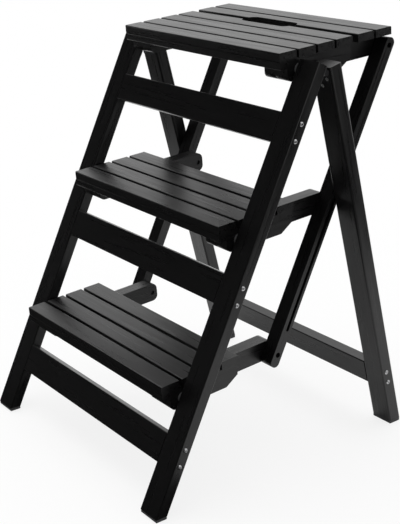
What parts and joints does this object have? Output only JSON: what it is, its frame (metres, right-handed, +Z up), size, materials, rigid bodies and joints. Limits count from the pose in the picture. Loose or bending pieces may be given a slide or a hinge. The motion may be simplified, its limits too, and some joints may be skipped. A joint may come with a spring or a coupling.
{
  "type": "folding step stool",
  "caption": "Folding wooden step stool in black satin paint: slatted steps between leaning stiles, a slatted seat with a hand hole, a hinged rear frame and folding link bars.",
  "frame": {"origin": "on the floor, in the middle of the footprint", "axes": "+Z up, the steps are climbed from -Y towards +Y, +X to the right of someone facing the steps"},
  "size_m": [0.47, 0.4838, 0.6324],
  "materials": {
    "painted_wood": "satin black paint over fine grain",
    "steel": "zinc plated",
    "foot_pad": "matt"
  },
  "bodies": {
    "front_frame": {"front_foot_pad_left": "foot_pad", "front_foot_pad_right": "foot_pad", "front_hinge_leaf_left": "steel", "front_hinge_leaf_right": "steel", "front_rail_lower": "painted_wood", "front_rail_middle": "painted_wood", "front_rail_upper": "painted_wood", "front_stile_left": "painted_wood", "front_stile_right": "painted_wood", "step_pivot_pins": "steel"},
    "rear_frame": {"hinge_pins": "steel", "rear_foot_pad_left": "foot_pad", "rear_foot_pad_right": "foot_pad", "rear_hinge_leaf_left": "steel", "rear_hinge_leaf_right": "steel", "rear_leg_left": "painted_wood", "rear_leg_right": "painted_wood", "rear_rail": "painted_wood"},
    "guide_pins": {"guide_pin_left": "steel", "guide_pin_right": "steel"},
    "top_step": {"top_arm_left": "painted_wood", "top_arm_right": "painted_wood", "top_front_strip": "painted_wood", "top_side_block_left": "painted_wood", "top_side_block_right": "painted_wood", "top_slat_1": "painted_wood", "top_slat_2": "painted_wood", "top_slat_3": "painted_wood", "top_slat_4": "painted_wood", "top_slat_5": "painted_wood", "top_slat_6": "painted_wood"},
    "middle_step": {"middle_arm_left": "painted_wood", "middle_arm_right": "painted_wood", "middle_front_strip": "painted_wood", "middle_side_block_left": "painted_wood", "middle_side_block_right": "painted_wood", "middle_slat_1": "painted_wood", "middle_slat_2": "painted_wood", "middle_slat_3": "painted_wood", "middle_slat_4": "painted_wood"},
    "lower_step": {"lower_arm_left": "painted_wood", "lower_arm_right": "painted_wood", "lower_front_strip": "painted_wood", "lower_side_block_left": "painted_wood", "lower_side_block_right": "painted_wood", "lower_slat_1": "painted_wood", "lower_slat_2": "painted_wood", "lower_slat_3": "painted_wood", "lower_slat_4": "painted_wood"},
    "link_bars": {"link_bar_left": "painted_wood", "link_bar_right": "painted_wood", "link_pivot_pins": "steel"}
  },
  "joints": [
    {"name": "top_step_fold", "type": "hinge", "parent": "front_frame", "child": "top_step", "pos_m": [0, 0.0541, 0.59243], "axis": [1, 0, 0], "range_deg": [0, 44]},
    {"name": "middle_step_fold", "type": "hinge", "parent": "front_frame", "child": "middle_step", "pos_m": [0, -0.05564, 0.36743], "axis": [1, 0, 0], "range_deg": [0, 44]},
    {"name": "lower_step_fold", "type": "hinge", "parent": "front_frame", "child": "lower_step", "pos_m": [0, -0.15953, 0.15443], "axis": [1, 0, 0], "range_deg": [0, 44]},
    {"name": "link_bar_swing", "type": "hinge", "parent": "top_step", "child": "link_bars", "pos_m": [0, 0.23117, 0.60481], "axis": [1, 0, 0], "range_deg": [-44, 0]},
    {"name": "rear_frame_fold", "type": "hinge", "parent": "front_frame", "child": "rear_frame", "pos_m": [0, 0.0685, 0.59002], "axis": [1, 0, 0], "range_deg": [-34.26, 0]},
    {"name": "guide_pin_slide", "type": "slide", "parent": "link_bars", "child": "guide_pins", "axis": [0, -0.4384, -0.8988], "range_m": [0, 0.1364]}
  ],
  "couplings": [
    {"joint": "middle_step_fold", "follows": "top_step_fold", "ratio": 1},
    {"joint": "lower_step_fold", "follows": "top_step_fold", "ratio": 1},
    {"joint": "link_bar_swing", "follows": "top_step_fold", "ratio": -1},
    {"joint": "rear_frame_fold", "follows": "top_step_fold", "ratio": -0.77852},
    {"joint": "guide_pin_slide", "follows": "top_step_fold", "m_per_rad": 0.1775}
  ]
}
